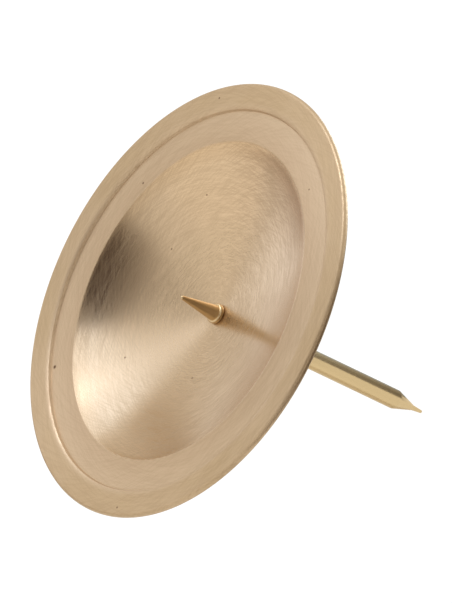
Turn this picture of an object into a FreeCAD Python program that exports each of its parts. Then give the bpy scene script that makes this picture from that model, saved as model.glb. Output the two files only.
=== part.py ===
import FreeCAD, Part
import math
import os

from FreeCAD import Vector

# A brass candle pick. A shallow dish carries a small cone above for the candle and a long spike below.
# The axis is Z, up towards the candle. Height zero is the flat under the dish, where the spike seats.

# Dish, from its edge inwards
dish_radius = 40.0
dish_wall = 1.2
edge_round = 0.55
edge_share = 0.46
rim_width = 4.0
shoulder_width = 0.8
shoulder_drop = 0.19
step_run = 0.2
step_depth = 0.6
ledge_width = 5.5
bowl_depth = 7.0
bowl_edge_break = 0.12
bowl_round = 140.0
floor_radius = 2.3
seat_radius = 3.2
under_bend = 1.5

# Candle pin, from its foot up
bead_radius = 1.83
bead_height = 0.9
bead_round = 0.3
cone_radius = 1.44
cone_height = 7.73
cone_tip_radius = 0.33
cone_tip_round = 0.2

# Screwed joint between pin and spike, an M2 thread drawn as plain cylinders
thread_radius = 1.0
thread_length = 5.0
thread_clearance = 0.03
hole_clearance = 0.1
bore_spare = 0.6
drill_point_degrees = 118.0
lead_chamfer = 0.2

# Wreath spike, from the dish down
spike_radius = 1.735
spike_shaft_length = 41.2
spike_cone_length = 4.05
spike_neck_radius = 0.54
spike_neck_step = 0.05
spike_nib_length = 2.4
spike_tip_radius = 0.28
spike_tip_round = 0.2

# Worked out from the sizes above
half = 0.5
full_turn_degrees = 360.0
nearness = 1e-6
rim_inner_radius = dish_radius - rim_width
step_top_radius = rim_inner_radius - shoulder_width
ledge_radius = step_top_radius - step_run
bowl_radius = ledge_radius - ledge_width
rim_round = min(edge_round, dish_wall * edge_share)


# The bowl rises from its floor to its edge in one wide arc, and its underside runs parallel to it.
bowl_span = bowl_radius - floor_radius
bowl_lean = math.atan2(bowl_depth, bowl_span)
bowl_half_sweep = math.asin(math.hypot(bowl_depth, bowl_span) * half / bowl_round)
bowl_reach = bowl_round * math.cos(bowl_half_sweep)
bowl_centre_radius = (bowl_radius + floor_radius) * half - bowl_reach * math.sin(bowl_lean)
bowl_centre_rise = bowl_depth * half + bowl_reach * math.cos(bowl_lean)
under_round = bowl_round + dish_wall
floor_height = math.sqrt(under_round**2 - (seat_radius - bowl_centre_radius) ** 2) - bowl_centre_rise
bowl_centre_height = floor_height + bowl_centre_rise
ledge_height = floor_height + bowl_depth
rim_height = ledge_height + step_depth
ledge_under = ledge_height - dish_wall
under_bowl_radius = bowl_centre_radius + math.sqrt(under_round**2 - (bowl_centre_height - ledge_under) ** 2)
bore_depth = thread_length + bore_spare


# Half of a turned outline, drawn as radius and height and then turned about the axis.
class Outline:
    def __init__(self, radius, height):
        self.start = Vector(radius, 0, height)
        self.point = self.start
        self.edges = []

    def line(self, radius, height):
        end = Vector(radius, 0, height)
        if self.point.distanceToPoint(end) > nearness:
            self.edges.append(Part.LineSegment(self.point, end).toShape())
            self.point = end
        return self

    # The short way round a centre.
    def arc(self, centre_radius, centre_height, radius, height):
        centre = Vector(centre_radius, 0, centre_height)
        end = Vector(radius, 0, height)
        spoke = self.point - centre
        middle = spoke + (end - centre)
        middle.normalize()
        through = centre + middle * spoke.Length
        self.edges.append(Part.Arc(self.point, through, end).toShape())
        self.point = end
        return self

    # A rounded end that closes on the axis, over a foot as wide as the point reached.
    def dome(self, height):
        rise = height - self.point.z
        ball = (self.point.x**2 + rise**2) / (2 * rise)
        return self.arc(0, height - ball, 0, height)

    def solid(self):
        self.line(self.start.x, self.start.z)
        face = Part.Face(Part.Wire(self.edges))
        return face.revolve(Vector(0, 0, 0), Vector(0, 0, 1), full_turn_degrees)


# The round edges of a solid that have this radius at this height.
def ring_edges(solid, radius, height):
    found = []
    for edge in solid.Edges:
        if isinstance(edge.Curve, Part.Circle):
            wide = abs(edge.Curve.Radius - radius)
            high = abs(edge.Curve.Center.z - height)
            if max(wide, high) < nearness:
                found.append(edge)
    return found


def dish():
    shoulder_ball = (shoulder_width**2 + shoulder_drop**2) / (2 * shoulder_drop)
    under_step = rim_inner_radius + step_depth
    rim_under = rim_height - dish_wall
    outline = Outline(thread_radius + hole_clearance, floor_height)
    outline.line(floor_radius, floor_height)
    outline.arc(bowl_centre_radius, bowl_centre_height, bowl_radius, ledge_height)
    outline.line(ledge_radius, ledge_height)
    outline.line(step_top_radius, rim_height - shoulder_drop)
    outline.arc(rim_inner_radius, rim_height - shoulder_ball, rim_inner_radius, rim_height)
    outline.line(dish_radius - rim_round, rim_height)
    outline.arc(dish_radius - rim_round, rim_height - rim_round, dish_radius, rim_height - rim_round)
    outline.line(dish_radius, rim_under + rim_round)
    outline.arc(dish_radius - rim_round, rim_under + rim_round, dish_radius - rim_round, rim_under)
    outline.line(under_step, rim_under)
    outline.line(rim_inner_radius, ledge_under)
    outline.line(under_bowl_radius, ledge_under)
    outline.arc(bowl_centre_radius, bowl_centre_height, seat_radius, 0)
    outline.line(thread_radius + hole_clearance, 0)
    solid = outline.solid()
    solid = solid.makeFillet(bowl_edge_break, ring_edges(solid, bowl_radius, ledge_height))
    return solid.makeFillet(under_bend, ring_edges(solid, under_bowl_radius, ledge_under))


def candle_pin():
    bead_ring = bead_radius - bead_round
    bead_top = floor_height + bead_height
    tip = bead_top + cone_height
    outline = Outline(0, -thread_length)
    outline.line(thread_radius - lead_chamfer, -thread_length)
    outline.line(thread_radius, lead_chamfer - thread_length)
    outline.line(thread_radius, floor_height)
    outline.line(bead_ring, floor_height)
    outline.arc(bead_ring, floor_height + bead_round, bead_radius, floor_height + bead_round)
    outline.line(bead_radius, bead_top - bead_round)
    outline.arc(bead_ring, bead_top - bead_round, bead_ring, bead_top)
    outline.line(cone_radius, bead_top)
    outline.line(cone_tip_radius, tip - cone_tip_round)
    outline.dome(tip)
    return outline.solid()


def wreath_spike():
    bore_radius = thread_radius + thread_clearance
    drill_point = bore_radius / math.tan(math.radians(drill_point_degrees * half))
    shoulder = -spike_shaft_length
    neck = shoulder - spike_cone_length
    tip = neck - spike_nib_length
    outline = Outline(bore_radius + lead_chamfer, 0)
    outline.line(spike_radius, 0)
    outline.line(spike_radius, shoulder)
    outline.line(spike_neck_radius, neck)
    outline.line(spike_neck_radius - spike_neck_step, neck)
    outline.line(spike_tip_radius, tip + spike_tip_round)
    outline.dome(tip)
    outline.line(0, -bore_depth - drill_point)
    outline.line(bore_radius, -bore_depth)
    outline.line(bore_radius, -lead_chamfer)
    return outline.solid()


sub_parts = {
    "dish": dish(),
    "candle_pin": candle_pin(),
    "wreath_spike": wreath_spike(),
}

os.makedirs("parts", exist_ok=True)
for name, solid in sub_parts.items():
    solid.exportStep(f"parts/{name}.step")
    box = solid.BoundBox
    print(f"{name}: {solid.Volume:.2f} mm3, radius {box.XMax:.2f}, from {box.ZMin:.3f} to {box.ZMax:.3f}")
print(f"rim {rim_height:.4f}, ledge {ledge_height:.4f}, floor {floor_height:.4f}")
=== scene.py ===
from math import acos, asin, atan2, cos, hypot, pi, radians, sin, tan

import bmesh
import bpy
from mathutils import Matrix, Vector


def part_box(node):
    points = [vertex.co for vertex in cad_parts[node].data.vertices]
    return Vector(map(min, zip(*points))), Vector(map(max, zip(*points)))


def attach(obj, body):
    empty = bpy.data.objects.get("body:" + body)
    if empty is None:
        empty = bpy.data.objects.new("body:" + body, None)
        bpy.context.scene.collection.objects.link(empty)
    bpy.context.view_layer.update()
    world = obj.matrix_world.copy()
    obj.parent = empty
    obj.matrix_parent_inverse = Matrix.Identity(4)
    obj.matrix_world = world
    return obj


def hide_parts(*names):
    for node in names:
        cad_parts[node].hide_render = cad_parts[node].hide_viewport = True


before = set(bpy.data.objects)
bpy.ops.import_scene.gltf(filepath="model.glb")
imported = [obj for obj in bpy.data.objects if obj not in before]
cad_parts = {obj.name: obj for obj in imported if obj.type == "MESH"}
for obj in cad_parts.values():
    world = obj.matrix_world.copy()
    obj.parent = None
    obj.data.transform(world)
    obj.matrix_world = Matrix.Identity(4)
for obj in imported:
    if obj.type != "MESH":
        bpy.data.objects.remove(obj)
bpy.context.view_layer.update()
print("frame loaded")

mm = 0.001  # the scene is in metres, and the sizes below are in millimetres
white = (1, 1, 1, 1)
scene = bpy.context.scene
scene.view_settings.view_transform = "Standard"


# Camera

cameraView = {
    "imageWidth": 452,
    "imageHeight": 603,
    "elevation": 35.85,  # above the dish's own plane
    "roll": 64.4,  # the picture is turned this far to the left, so the spike points right
    "lens": 1100.0,  # long, as the photograph has almost no perspective
    "sensor": 36.0,
    "pixelsPerMm": 5.786,
    "rimCentre": (185.34, 299.03),  # the pixel that the middle of the rim falls on
}


def makeCamera(rimHeight):
    view = cameraView
    tilt = radians(view["elevation"])
    back = Vector((0, -cos(tilt), sin(tilt)))
    up = Vector((0, sin(tilt), cos(tilt)))
    turned = Matrix.Rotation(-radians(view["roll"]), 3, back)
    right, up = turned @ Vector((1, 0, 0)), turned @ up
    offX = (view["rimCentre"][0] - view["imageWidth"] / 2) / view["pixelsPerMm"]
    offY = (view["imageHeight"] / 2 - view["rimCentre"][1]) / view["pixelsPerMm"]
    distance = view["lens"] * view["imageHeight"] / view["sensor"] / view["pixelsPerMm"]
    target = Vector((0, 0, rimHeight)) - right * offX - up * offY
    camera = bpy.data.objects.new("camera", bpy.data.cameras.new("camera"))
    scene.collection.objects.link(camera)
    camera.data.lens = view["lens"]
    camera.data.sensor_width = view["sensor"]
    camera.data.clip_end = 2 * distance * mm
    place = Matrix((right, up, back)).transposed().to_4x4()
    place.translation = (target + back * distance) * mm
    camera.matrix_world = place
    scene.camera = camera
    print("camera placed")


# Node, colour and object helpers


def linear(hexColour):
    colour = []
    for at in (1, 3, 5):
        part = int(hexColour[at : at + 2], 16) / 255
        colour.append(part / 12.92 if part <= 0.04045 else ((part + 0.055) / 1.055) ** 2.4)
    return colour + [1]


def addNode(tree, kind, links=None, **settings):
    node = tree.nodes.new(kind)
    for name, value in settings.items():
        setattr(node, name, value)
    for socket, source in (links or {}).items():
        if isinstance(source, bpy.types.NodeSocket):
            tree.links.new(source, node.inputs[socket])
        else:
            node.inputs[socket].default_value = source
    return node


def newMaterial(name):
    material = bpy.data.materials.new(name)
    material.use_nodes = True
    tree = material.node_tree
    tree.nodes.clear()
    return material, tree


def meshObject(name, bm, material):
    mesh = bpy.data.meshes.new(name)
    bm.to_mesh(mesh)
    bm.free()
    mesh.materials.append(material)
    made = bpy.data.objects.new(name, mesh)
    scene.collection.objects.link(made)
    return made


# Studio: white world, pale floor, soft boxes, and cards that the metal reflects

studio = {
    "worldStrength": 1.0,
    "floorSize": 6000.0,
    "floorColour": "#D9D9D9",  # what the floor throws back onto the object
    "floorGlow": 0.95,  # how white the floor is to the camera and in reflections
    "floorShade": 0.12,  # how much of the object's shadow shows on it
    "cardGap": 0.2,  # between the floor and the cards on it, one above the other
}

# Lamps: direction from the dish, turn, distance, width, height, radiance, colour
lamps = {
    "softBox": ((0.434, 0.468, 0.768), -27.0, 900.0, 376.0, 550.0, 1.3, (0.52, 0.69, 1.02)),
    "keyLamp": ((0.555, 0.365, 0.76), 0.0, 900.0, 280.0, 340.0, 5.4, (0.82, 0.88, 1.08)),
    "leftGlow": ((-0.37, 0.66, 0.68), 15.0, 900.0, 230.0, 560.0, 0.18, (1.0, 0.9, 0.7)),
    "farGlow": ((-0.085, 0.97, 0.2), 0.0, 900.0, 130.0, 400.0, 0.5, (0.62, 0.74, 1.0)),
}

# Cards that only the metal sees: direction from the dish, turn, distance, width, height, colour
cards = {
    "overheadFlag": ((0.083, 0.2156, 1.0), 20.0, 623.0, 212.0, 235.0, "#34180C"),
    "flagSkirt": ((0.03, -0.05, 1.0), 0.0, 620.0, 240.0, 660.0, "#A59A8E"),
    "leftWing": ((-0.358, 0.885, 0.297), 16.7, 900.0, 150.0, 660.0, "#8C5A2E"),
    "rightWing": ((0.245, 0.9138, 0.3173), -21.0, 900.0, 42.0, 500.0, "#B4925A"),
    "cameraShade": ((0.0, -0.649, 0.76), 0.0, 900.0, 2000.0, 400.0, "#968B80"),
    "frontShade": ((0.0, -1.0, -0.046), 0.0, 130.0, 220.0, 82.0, "#8C8075"),
}

# Cards on the floor, each above the one before: centre, turn, width, height, colour, own light
floorCards = {
    "spikeShade": ((44.6, -8.3), 38.0, 60.0, 60.0, "#918F8C", 0.0),
    "spikeHaze": ((52.7, 40.6), 85.0, 90.0, 90.0, "#A9A9A6", 0.0),
    "spikeEdge": ((19.9, 63.5), 120.0, 90.0, 90.0, "#BCC7D0", 0.0),
    "spikeWarm": ((-57.7, 27.7), 200.0, 90.0, 90.0, "#F7F2E8", 0.0),
    "edgeShade": ((25.0, -95.0), 0.0, 90.0, 80.0, "#4E433A", 0.0),
    "edgeGlow": ((88.0, 0.0), 0.0, 60.0, 90.0, "#DCEBFF", 4.0),
}


def facing(direction, turn, distance):
    # a place that far from the dish, looking at it
    out = Vector(direction).normalized()
    side = Vector((0, 1, 0)).cross(out).normalized()
    place = Matrix((side, out.cross(side), out)).transposed()
    place = (place @ Matrix.Rotation(radians(turn), 3, "Z")).to_4x4()
    place.translation = out * distance * mm
    return place


def makeCard(name, place, width, height, colour, glow=0.0):
    material, tree = newMaterial(name)
    cloth = addNode(tree, "ShaderNodeBsdfDiffuse", {"Color": linear(colour)})
    lit = addNode(tree, "ShaderNodeEmission", {"Color": linear(colour), "Strength": glow})
    both = addNode(tree, "ShaderNodeAddShader", {0: cloth.outputs[0], 1: lit.outputs[0]})
    addNode(tree, "ShaderNodeOutputMaterial", {"Surface": both.outputs[0]})
    bm = bmesh.new()
    bmesh.ops.create_grid(bm, x_segments=1, y_segments=1, size=mm / 2)
    bmesh.ops.scale(bm, verts=bm.verts, vec=(width, height, 1))
    card = meshObject(name, bm, material)
    card.matrix_world = place
    card.visible_camera = card.visible_diffuse = card.visible_shadow = False


def makeFloor(floorHeight):
    material, tree = newMaterial("pale floor")
    # the camera and reflections see a white floor, and it lights the object as a grey one
    rays = addNode(tree, "ShaderNodeLightPath")
    seen = rays.outputs["Is Camera Ray"]
    for kind in ("Is Glossy Ray", "Is Transmission Ray"):
        links = {0: seen, 1: rays.outputs[kind]}
        seen = addNode(tree, "ShaderNodeMath", links, operation="MAXIMUM").outputs[0]
    paper = addNode(tree, "ShaderNodeBsdfDiffuse", {"Color": linear(studio["floorColour"])})
    faint = addNode(tree, "ShaderNodeBsdfDiffuse", {"Color": [studio["floorShade"]] * 3 + [1]})
    glow = addNode(
        tree, "ShaderNodeEmission", {"Color": white, "Strength": studio["floorGlow"]}
    )
    bright = addNode(tree, "ShaderNodeAddShader", {0: faint.outputs[0], 1: glow.outputs[0]})
    both = addNode(
        tree, "ShaderNodeMixShader", {0: seen, 1: paper.outputs[0], 2: bright.outputs[0]}
    )
    addNode(tree, "ShaderNodeOutputMaterial", {"Surface": both.outputs[0]})
    bm = bmesh.new()
    bmesh.ops.create_grid(bm, x_segments=1, y_segments=1, size=studio["floorSize"] / 2 * mm)
    bmesh.ops.translate(bm, verts=bm.verts, vec=(0, 0, floorHeight * mm))
    floor = meshObject("floor", bm, material)


def makeStudio(floorHeight):
    world = bpy.data.worlds.new("white studio")
    world.use_nodes = True
    scene.world = world
    light = world.node_tree.nodes["Background"]
    light.inputs["Color"].default_value = white
    light.inputs["Strength"].default_value = studio["worldStrength"]
    makeFloor(floorHeight)

    for name, (direction, turn, distance, width, height, radiance, colour) in lamps.items():
        lamp = bpy.data.lights.new(name, "AREA")
        lamp.shape = "RECTANGLE"
        lamp.size = width * mm
        lamp.size_y = height * mm
        lamp.energy = radiance * pi * lamp.size * lamp.size_y
        lamp.color = colour
        placed = bpy.data.objects.new(name, lamp)
        scene.collection.objects.link(placed)
        placed.matrix_world = facing(direction, turn, distance)
        placed.visible_camera = False

    for name, (direction, turn, distance, width, height, colour) in cards.items():
        makeCard(name, facing(direction, turn, distance), width, height, colour)
    above = floorHeight
    for name, ((x, y), turn, width, height, colour, glow) in floorCards.items():
        above += studio["cardGap"]
        place = Matrix.Translation((x * mm, y * mm, above * mm))
        place = place @ Matrix.Rotation(radians(turn), 4, "Z")
        makeCard(name, place, width, height, colour, glow)
    print("studio lit by", len(lamps), "lamps, with", len(cards) + len(floorCards), "cards")


# Drawing a turned piece: an outline in the plane of X and Z, spun round Z

drawing = {
    "holdReach": 0.06,  # how near a point comes to each end of a long side
    "longSide": 1.5,
    "mergeWithin": 1e-4,
    "onAxis": 1e-6,
    "sharpFrom": 35.0,  # degrees between faces
}


def startAt(bm, radius, height):
    return bm.verts.new((radius * mm, 0, height * mm))


def lineTo(bm, pen, radius, height):
    tip = bmesh.ops.extrude_vert_indiv(bm, verts=[pen])["verts"][0]
    tip.co = (radius * mm, 0, height * mm)
    return tip


def arcTo(bm, pen, centre, angle, steps):
    swept = bmesh.ops.spin(
        bm,
        geom=[pen],
        cent=(centre[0] * mm, 0, centre[1] * mm),
        axis=(0, 1, 0),
        angle=angle,
        steps=steps,
    )
    return [part for part in swept["geom_last"] if isinstance(part, bmesh.types.BMVert)][0]


def domeTo(bm, pen, radius, rise, turn, steps):
    # a rounded end that closes on the axis
    ball = (radius**2 + rise**2) / (2 * rise)
    centre = pen.co.z / mm + turn * (rise - ball)
    return arcTo(bm, pen, (0, centre), -turn * asin(radius / ball), steps)


def roundCorner(bm, corner, reach, segments):
    bmesh.ops.bevel(
        bm,
        geom=[corner],
        offset=reach * mm,
        offset_type="OFFSET",
        segments=segments,
        profile=0.5,
        affect="VERTICES",
        material=-1,
    )


def holdCorners(bm):
    # a point close to each end of a long side keeps the smooth shading between them true
    reach = drawing["holdReach"] * mm
    longSides = [side for side in bm.edges if side.calc_length() > drawing["longSide"] * mm]
    for edge in longSides:
        first, last = edge.verts
        made = bmesh.utils.edge_split(edge, first, reach / edge.calc_length())[0]
        longer = max(made, edge, key=bmesh.types.BMEdge.calc_length)
        bmesh.utils.edge_split(longer, last, reach / longer.calc_length())


def turnPiece(name, node, bm, steps, material):
    holdCorners(bm)
    # the length along the outline, from its lowest inner corner back to it
    along = bm.verts.layers.float.new("along")
    first = vert = min(bm.verts, key=lambda corner: corner.co.x + corner.co.z)
    walked, edge = 0.0, first.link_edges[0]
    while edge:
        vert = edge.other_vert(vert)
        walked += edge.calc_length()
        if vert == first:
            break
        vert[along] = walked
        edge = next((onward for onward in vert.link_edges if onward != edge), None)
    bmesh.ops.spin(
        bm,
        geom=bm.verts[:] + bm.edges[:],
        cent=(0, 0, 0),
        axis=(0, 0, 1),
        angle=2 * pi,
        steps=steps,
        use_merge=True,
    )
    bmesh.ops.remove_doubles(bm, verts=bm.verts, dist=drawing["mergeWithin"] * mm)
    bmesh.ops.recalc_face_normals(bm, faces=bm.faces)
    # the UV map has the way round the axis across, and the length along the outline upwards
    uv = bm.loops.layers.uv.new("OFBake")
    for face in bm.faces:
        middle = face.calc_center_median()
        bearing = atan2(middle.y, middle.x)
        far = max(corner.vert[along] for corner in face.loops) > walked / 2
        for corner in face.loops:
            place = corner.vert.co
            offAxis = place.xy.length > drawing["onAxis"] * mm
            turn = atan2(place.y, place.x) - bearing if offAxis else 0
            turn = (turn + pi) % (2 * pi) - pi
            reach = corner.vert[along]
            if far and reach == 0:
                reach = walked
            corner[uv].uv = ((bearing + turn) / (2 * pi) + 0.5, reach / walked)
    made = meshObject(name, bm, material)
    made.data.shade_smooth()
    made.data.set_sharp_from_angle(angle=radians(drawing["sharpFrom"]))
    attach(made, "root")
    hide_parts(node)
    print(name, "has", len(made.data.polygons), "faces")


# Satin brass: turned on a lathe and rubbed with an abrasive pad. It gives a soft, pinkish tan
# sheen, blurred dark and bright reflections, fine rings, and light scratches that curve across
# them. The real marks are too fine to show, so rings and grain are drawn a few times coarser.

satinBrass = {
    # the colour at a radius: a little darker and browner round the bowl's edge, lighter out on
    # the ledge
    "zones": (
        (26.0, "#CDB290"),
        (29.2, "#C8AB87"),
        (29.8, "#C6AB8A"),
        (34.3, "#CDB392"),
    ),
    "flatsFrom": (29.2, 29.8),  # the bowl ends and the flats begin
    # the rim beyond is more golden, in patches
    "rimFrom": (34.5, 36.5),
    "rimColour": "#C4A984",
    "patchSize": 16.667,
    "patchRange": (0.3, 0.6),
    "patchLeast": 0.4,  # share of that colour between the patches
    "markShade": "#EEEDEA",  # a full mark multiplies the metal's colour by this
    "markRange": (0.64, 1.1),  # a mark begins to show, and is full
    "flatMarks": 0.4,  # share of the marks that shows on the flats
    "bowlRoughness": (0.16, 0.24),  # between the marks and in them
    "flatRoughness": (0.38, 0.54),
    "centreWear": 1.5,  # the bowl's centre is this many times rougher
    "centreReach": (6.0, 20.0),  # all of that wear, and none
    "anisotropy": 0.4,
    "ringSpacing": 0.38,
    "ringCells": 4.0,  # cells of a ring's pattern in one radian round the axis
    "scratchCells": 48.0,  # the same for the scratches
    "scratchReach": 14.0,  # cells each time the radius grows by the natural base
    "scratchSlants": (-13.0, 25.0),  # degrees off the rings
    "scratchRange": (0.45, 0.8),
    "scratchShare": 0.42,
    "grainSize": 0.3,
    "grainShare": 0.5,
    "depth": 0.0005,
    "pitColour": "#5E4128",
    "pitEdge": (0.5, 1.5),  # a pit fades between these shares of its radius
    # dark specks: x, y, radius
    "pits": (
        (-20.5, 27.2, 0.3),
        (-13.7, 14.0, 0.15),
        (-11.8, -4.1, 0.16),
        (-37.5, -8.4, 0.16),
        (34.0, 16.7, 0.16),
        (15.0, 27.1, 0.18),
        (17.9, 12.1, 0.14),
        (6.8, 16.2, 0.14),
        (26.2, -18.1, 0.14),
    ),
}
naturalBase = 2.718


def satinMarks(tree, place, radius, bearing):
    finish = satinBrass
    # rings: fine across, long round the axis
    perRing = 1 / (finish["ringSpacing"] * mm)
    rings = addNode(tree, "ShaderNodeMath", {0: radius, 1: perRing}, operation="MULTIPLY")
    raised = addNode(tree, "ShaderNodeCombineXYZ", {"Z": rings.outputs[0]})
    laid = addNode(
        tree,
        "ShaderNodeVectorMath",
        {0: bearing, 1: [finish["ringCells"]] * 3, 2: raised.outputs[0]},
        operation="MULTIPLY_ADD",
    )
    ringMarks = addNode(
        tree,
        "ShaderNodeTexNoise",
        {"Vector": laid.outputs[0], "Scale": 1.0, "Detail": 3.0, "Roughness": 0.6},
    )

    # scratches: lines that keep their slant to the rings, so they curl round the axis
    reach = addNode(
        tree, "ShaderNodeMath", {0: radius, 1: naturalBase}, operation="LOGARITHM"
    ).outputs[0]
    raised = addNode(
        tree, "ShaderNodeMath", {0: reach, 1: finish["scratchReach"]}, operation="MULTIPLY"
    )
    raised = addNode(tree, "ShaderNodeCombineXYZ", {"Z": raised.outputs[0]})
    scratches = 0.0
    for slant in finish["scratchSlants"]:
        curl = 1 / tan(radians(slant))
        turn = addNode(tree, "ShaderNodeMath", {0: reach, 1: curl}, operation="MULTIPLY")
        curled = addNode(
            tree,
            "ShaderNodeVectorRotate",
            {"Vector": bearing, "Axis": (0, 0, 1), "Angle": turn.outputs[0]},
        )
        laid = addNode(
            tree,
            "ShaderNodeVectorMath",
            {0: curled.outputs[0], 1: [finish["scratchCells"]] * 3, 2: raised.outputs[0]},
            operation="MULTIPLY_ADD",
        )
        lines = addNode(
            tree, "ShaderNodeTexNoise", {"Vector": laid.outputs[0], "Scale": 1.0, "Detail": 2.0}
        )
        low, high = finish["scratchRange"]
        deep = addNode(
            tree,
            "ShaderNodeMapRange",
            {"Value": lines.outputs[0], "From Min": low, "From Max": high},
        )
        scratches = addNode(
            tree, "ShaderNodeMath", {0: deep.outputs[0], 1: scratches}, operation="ADD"
        ).outputs[0]

    marks = addNode(
        tree,
        "ShaderNodeMath",
        {0: scratches, 1: finish["scratchShare"], 2: ringMarks.outputs[0]},
        operation="MULTIPLY_ADD",
    )
    perGrain = 1 / (finish["grainSize"] * mm)
    grain = addNode(
        tree, "ShaderNodeTexNoise", {"Vector": place, "Scale": perGrain, "Detail": 2.0}
    )
    return addNode(
        tree,
        "ShaderNodeMath",
        {0: grain.outputs[0], 1: finish["grainShare"], 2: marks.outputs[0]},
        operation="MULTIPLY_ADD",
    ).outputs[0]


def satinColour(tree, place, level, radius, strength):
    finish = satinBrass
    # the colour changes a little from the bowl to its edge, the ledge and the rim
    dishRadius = dishSize["radius"]
    wide = addNode(tree, "ShaderNodeMapRange", {"Value": radius, "From Max": dishRadius * mm})
    zones = addNode(tree, "ShaderNodeValToRGB", {"Fac": wide.outputs[0]})
    stops = zones.color_ramp.elements
    for reach, shade in finish["zones"]:
        stops.new(reach / dishRadius).color = linear(shade)
    stops.remove(stops[0])
    stops.remove(stops[-1])
    low, high = finish["rimFrom"]
    onRim = addNode(
        tree,
        "ShaderNodeMapRange",
        {"Value": radius, "From Min": low * mm, "From Max": high * mm},
    )
    perPatch = 1 / (finish["patchSize"] * mm)
    patches = addNode(
        tree, "ShaderNodeTexNoise", {"Vector": place, "Scale": perPatch, "Detail": 3.0}
    )
    low, high = finish["patchRange"]
    spread = {"From Min": low, "From Max": high, "To Min": finish["patchLeast"]}
    patches = addNode(tree, "ShaderNodeMapRange", {"Value": patches.outputs[0]} | spread)
    onRim = addNode(
        tree,
        "ShaderNodeMath",
        {0: onRim.outputs[0], 1: patches.outputs[0]},
        operation="MULTIPLY",
    )
    colour = addNode(
        tree,
        "ShaderNodeMix",
        {0: onRim.outputs[0], 6: zones.outputs[0], 7: linear(finish["rimColour"])},
        data_type="RGBA",
    )
    # the marks are darker
    colour = addNode(
        tree,
        "ShaderNodeMix",
        {0: strength, 6: colour.outputs[2], 7: linear(finish["markShade"])},
        data_type="RGBA",
        blend_type="MULTIPLY",
    )
    # pits: small dark specks
    low, high = finish["pitEdge"]
    for x, y, size in finish["pits"]:
        away = addNode(
            tree,
            "ShaderNodeVectorMath",
            {0: level, 1: (x * mm, y * mm, 0)},
            operation="DISTANCE",
        )
        edge = {"From Min": low * size * mm, "From Max": high * size * mm}
        edge |= {"To Min": 1, "To Max": 0}
        speck = addNode(tree, "ShaderNodeMapRange", {"Value": away.outputs["Value"]} | edge)
        colour = addNode(
            tree,
            "ShaderNodeMix",
            {0: speck.outputs[0], 6: colour.outputs[2], 7: linear(finish["pitColour"])},
            data_type="RGBA",
        )
    return colour.outputs[2]


def satinBrassMaterial():
    finish = satinBrass
    material, tree = newMaterial("satin brass")
    place = addNode(tree, "ShaderNodeTexCoord").outputs["Object"]
    level = addNode(
        tree, "ShaderNodeVectorMath", {0: place, 1: (1, 1, 0)}, operation="MULTIPLY"
    ).outputs[0]
    radius = addNode(
        tree, "ShaderNodeVectorMath", {0: level}, operation="LENGTH"
    ).outputs["Value"]
    bearing = addNode(
        tree, "ShaderNodeVectorMath", {0: level}, operation="NORMALIZE"
    ).outputs[0]

    marks = satinMarks(tree, place, radius, bearing)
    low, high = finish["markRange"]
    shown = addNode(
        tree, "ShaderNodeMapRange", {"Value": marks, "From Min": low, "From Max": high}
    )
    # the marks are fainter on the flats
    low, high = finish["flatsFrom"]
    flats = {"Value": radius, "From Min": low * mm, "From Max": high * mm}
    strength = addNode(
        tree, "ShaderNodeMapRange", flats | {"To Min": 1.0, "To Max": finish["flatMarks"]}
    )
    strength = addNode(
        tree,
        "ShaderNodeMath",
        {0: shown.outputs[0], 1: strength.outputs[0]},
        operation="MULTIPLY",
    )
    colour = satinColour(tree, place, level, radius, strength.outputs[0])

    height = addNode(tree, "ShaderNodeMath", {0: marks, 1: -1.0}, operation="MULTIPLY")
    bump = addNode(
        tree,
        "ShaderNodeBump",
        {"Height": height.outputs[0], "Distance": finish["depth"] * mm},
    )
    # the flats are rubbed rougher than the bowl, and the bowl is most worn at its centre
    rough = [
        addNode(tree, "ShaderNodeMapRange", flats | {"To Min": bowl, "To Max": flat}).outputs[0]
        for bowl, flat in zip(finish["bowlRoughness"], finish["flatRoughness"])
    ]
    rough = addNode(
        tree,
        "ShaderNodeMapRange",
        {"Value": shown.outputs[0], "To Min": rough[0], "To Max": rough[1]},
    )
    low, high = finish["centreReach"]
    centre = {"Value": radius, "From Min": low * mm, "From Max": high * mm}
    centre |= {"To Min": finish["centreWear"], "To Max": 1.0}
    centre = addNode(tree, "ShaderNodeMapRange", centre)
    rough = addNode(
        tree, "ShaderNodeMath", {0: rough.outputs[0], 1: centre.outputs[0]}, operation="MULTIPLY"
    )
    roundZ = addNode(tree, "ShaderNodeTangent", direction_type="RADIAL", axis="Z")
    metal = addNode(
        tree,
        "ShaderNodeBsdfPrincipled",
        {
            "Base Color": colour,
            "Metallic": 1.0,
            "Roughness": rough.outputs[0],
            "Anisotropic": finish["anisotropy"],
            "Anisotropic Rotation": 0.25,  # a quarter turn: the light spreads across the rings
            "Tangent": roundZ.outputs[0],
            "Normal": bump.outputs[0],
        },
    )
    addNode(tree, "ShaderNodeOutputMaterial", {"Surface": metal.outputs[0]})
    return material


# Polished brass: turned and then polished. It gives a warm golden shine with small soft
# highlights, broken a little by the rings that the tool left. Real rings are finer and wouldn't
# show, so these are drawn a few times coarser.

polishedBrass = {
    "colour": "#D4B88C",
    "roughness": 0.32,
    "ringSpacing": 0.2,
    "ringLength": 5.0,
    "depth": 0.0015,
}


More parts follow.
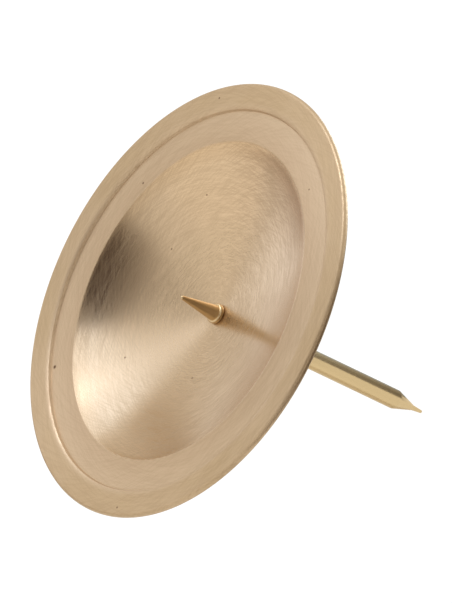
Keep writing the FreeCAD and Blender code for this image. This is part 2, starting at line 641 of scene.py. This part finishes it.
def polishedBrassMaterial():
    finish = polishedBrass
    material, tree = newMaterial("polished brass")
    place = addNode(tree, "ShaderNodeTexCoord").outputs["Object"]
    around = 1 / (finish["ringLength"] * mm)
    upwards = 1 / (finish["ringSpacing"] * mm)
    laid = addNode(
        tree, "ShaderNodeMapping", {"Vector": place, "Scale": (around, around, upwards)}
    )
    rings = addNode(
        tree, "ShaderNodeTexNoise", {"Vector": laid.outputs[0], "Scale": 1.0, "Detail": 2.0}
    )
    bump = addNode(
        tree,
        "ShaderNodeBump",
        {"Height": rings.outputs["Fac"], "Distance": finish["depth"] * mm},
    )
    metal = addNode(
        tree,
        "ShaderNodeBsdfPrincipled",
        {
            "Base Color": linear(finish["colour"]),
            "Metallic": 1.0,
            "Roughness": finish["roughness"],
            "Normal": bump.outputs[0],
        },
    )
    addNode(tree, "ShaderNodeOutputMaterial", {"Surface": metal.outputs[0]})
    return material


# Drawn brass: rod pulled through a die. It gives a smooth yellowish shine in long bands down
# the rod, with faint lines along it. Real lines are finer and wouldn't show, so these are drawn
# a few times coarser.

drawnBrass = {
    "colour": "#D3B98A",
    "roughness": 0.26,
    "lineWidth": 0.12,
    "lineLength": 12.0,
    "depth": 0.0015,
}


def drawnBrassMaterial():
    finish = drawnBrass
    material, tree = newMaterial("drawn brass")
    place = addNode(tree, "ShaderNodeTexCoord").outputs["Object"]
    around = 1 / (finish["lineWidth"] * mm)
    upwards = 1 / (finish["lineLength"] * mm)
    laid = addNode(
        tree, "ShaderNodeMapping", {"Vector": place, "Scale": (around, around, upwards)}
    )
    lines = addNode(
        tree, "ShaderNodeTexNoise", {"Vector": laid.outputs[0], "Scale": 1.0, "Detail": 2.0}
    )
    bump = addNode(
        tree,
        "ShaderNodeBump",
        {"Height": lines.outputs["Fac"], "Distance": finish["depth"] * mm},
    )
    metal = addNode(
        tree,
        "ShaderNodeBsdfPrincipled",
        {
            "Base Color": linear(finish["colour"]),
            "Metallic": 1.0,
            "Roughness": finish["roughness"],
            "Normal": bump.outputs[0],
        },
    )
    addNode(tree, "ShaderNodeOutputMaterial", {"Surface": metal.outputs[0]})
    return material


# Dish

dishSize = {
    "radius": 40.0,
    "wall": 1.2,
    "edgeRound": 0.55,
    "rimWidth": 4.0,
    "shoulderWidth": 0.8,
    "shoulderDrop": 0.19,
    "stepRun": 0.2,
    "stepDepth": 0.6,
    "ledgeWidth": 5.5,
    "bowlDepth": 7.0,
    "bowlRound": 140.0,
    "bowlEdgeBreak": 0.12,
    "underBend": 1.5,
    "floorRadius": 2.3,
    "seatRadius": 3.2,
    "holeRadius": 1.1,
    "turnSteps": 360,
    "bowlSteps": 28,
    "roundSteps": 5,
    "breakSteps": 3,
    "bendSteps": 4,
}


def makeDish():
    size = dishSize
    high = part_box("dish")[1]
    radius, rim = high.x / mm, high.z / mm
    wall = size["wall"]
    rimInner = radius - size["rimWidth"]
    stepTop = rimInner - size["shoulderWidth"]
    ledgeOuter = stepTop - size["stepRun"]
    bowl = ledgeOuter - size["ledgeWidth"]
    ledge = rim - size["stepDepth"]
    floor = ledge - size["bowlDepth"]
    # the bowl is a wide arc from its floor to its edge
    span = bowl - size["floorRadius"]
    lean = atan2(size["bowlDepth"], span)
    halfSweep = asin(hypot(size["bowlDepth"], span) / 2 / size["bowlRound"])
    reach = size["bowlRound"] * cos(halfSweep)
    centre = (
        (bowl + size["floorRadius"]) / 2 - reach * sin(lean),
        (floor + ledge) / 2 + reach * cos(lean),
    )
    # its underside has the same centre
    underRound = size["bowlRound"] + wall
    underLean = acos((centre[1] - ledge + wall) / underRound)
    seatLean = asin((size["seatRadius"] - centre[0]) / underRound)
    shoulderWidth, shoulderDrop = size["shoulderWidth"], size["shoulderDrop"]
    shoulderBall = (shoulderWidth**2 + shoulderDrop**2) / (2 * shoulderDrop)
    shoulderSweep = asin(shoulderWidth / shoulderBall)

    bm = bmesh.new()
    first = startAt(bm, size["holeRadius"], floor)
    pen = lineTo(bm, first, size["floorRadius"], floor)
    bowlEdge = pen = arcTo(bm, pen, centre, -2 * halfSweep, size["bowlSteps"])
    pen = lineTo(bm, pen, ledgeOuter, ledge)
    pen = lineTo(bm, pen, stepTop, rim - shoulderDrop)
    pen = arcTo(bm, pen, (rimInner, rim - shoulderBall), shoulderSweep, size["roundSteps"])
    upper = pen = lineTo(bm, pen, radius, rim)
    lower = pen = lineTo(bm, pen, radius, rim - wall)
    pen = lineTo(bm, pen, rimInner + size["stepDepth"], rim - wall)
    pen = lineTo(bm, pen, rimInner, ledge - wall)
    bend = pen = lineTo(bm, pen, centre[0] + underRound * sin(underLean), ledge - wall)
    pen = arcTo(bm, pen, centre, underLean - seatLean, size["bowlSteps"])
    last = lineTo(bm, pen, size["holeRadius"], 0)
    bm.edges.new((last, first))
    edgeBreak = size["bowlEdgeBreak"] * tan((lean + halfSweep) / 2)
    roundCorner(bm, bowlEdge, edgeBreak, size["breakSteps"])
    roundCorner(bm, upper, size["edgeRound"], size["roundSteps"])
    roundCorner(bm, lower, size["edgeRound"], size["roundSteps"])
    roundCorner(bm, bend, size["underBend"] * tan(underLean / 2), size["bendSteps"])
    finish = satinBrassMaterial()
    turnPiece("turned_dish", "dish", bm, size["turnSteps"], finish)


# Candle pin

pinSize = {
    "beadRadius": 1.83,
    "beadHeight": 0.9,
    "beadRound": 0.3,
    "coneRadius": 1.44,
    "tipRadius": 0.33,
    "tipRound": 0.2,
    "threadRadius": 1.0,
    "leadChamfer": 0.2,
    "turnSteps": 96,
    "roundSteps": 6,
    "tipSteps": 4,
}


def makePin():
    size = pinSize
    low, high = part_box("candle_pin")
    bottom, top = low.z / mm, high.z / mm
    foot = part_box("dish")[1].z / mm - dishSize["stepDepth"] - dishSize["bowlDepth"]
    beadTop = foot + size["beadHeight"]
    beadRound = size["beadRound"]
    beadRing = size["beadRadius"] - beadRound
    bm = bmesh.new()
    first = startAt(bm, 0, bottom)
    pen = lineTo(bm, first, size["threadRadius"] - size["leadChamfer"], bottom)
    pen = lineTo(bm, pen, size["threadRadius"], bottom + size["leadChamfer"])
    pen = lineTo(bm, pen, size["threadRadius"], foot)
    pen = lineTo(bm, pen, beadRing, foot)
    pen = arcTo(bm, pen, (beadRing, foot + beadRound), -pi / 2, size["roundSteps"])
    pen = lineTo(bm, pen, size["beadRadius"], beadTop - beadRound)
    pen = arcTo(bm, pen, (beadRing, beadTop - beadRound), -pi / 2, size["roundSteps"])
    pen = lineTo(bm, pen, size["coneRadius"], beadTop)
    pen = lineTo(bm, pen, size["tipRadius"], top - size["tipRound"])
    domeTo(bm, pen, size["tipRadius"], size["tipRound"], 1, size["tipSteps"])
    finish = polishedBrassMaterial()
    turnPiece("cone_pin", "candle_pin", bm, size["turnSteps"], finish)


# Wreath spike

spikeSize = {
    "radius": 1.735,
    "shaftLength": 41.2,
    "coneLength": 4.05,
    "neckRadius": 0.54,
    "neckStep": 0.05,
    "tipRadius": 0.28,
    "tipRound": 0.2,
    "boreRadius": 1.03,
    "boreDepth": 5.6,
    "borePoint": 0.62,
    "leadChamfer": 0.2,
    "turnSteps": 96,
    "tipSteps": 4,
}


def makeSpike():
    size = spikeSize
    low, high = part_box("wreath_spike")
    tip, top = low.z / mm, high.z / mm
    shoulder = top - size["shaftLength"]
    neck = shoulder - size["coneLength"]
    boreEnd = top - size["boreDepth"]
    bm = bmesh.new()
    first = startAt(bm, 0, boreEnd - size["borePoint"])
    pen = lineTo(bm, first, size["boreRadius"], boreEnd)
    pen = lineTo(bm, pen, size["boreRadius"], top - size["leadChamfer"])
    pen = lineTo(bm, pen, size["boreRadius"] + size["leadChamfer"], top)
    pen = lineTo(bm, pen, size["radius"], top)
    pen = lineTo(bm, pen, size["radius"], shoulder)
    pen = lineTo(bm, pen, size["neckRadius"], neck)
    pen = lineTo(bm, pen, size["neckRadius"] - size["neckStep"], neck)
    pen = lineTo(bm, pen, size["tipRadius"], tip + size["tipRound"])
    domeTo(bm, pen, size["tipRadius"], size["tipRound"], -1, size["tipSteps"])
    finish = drawnBrassMaterial()
    turnPiece("drawn_spike", "wreath_spike", bm, size["turnSteps"], finish)


makeCamera(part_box("dish")[1].z / mm)
makeStudio(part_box("wreath_spike")[0].z / mm)
makeDish()
makePin()
makeSpike()
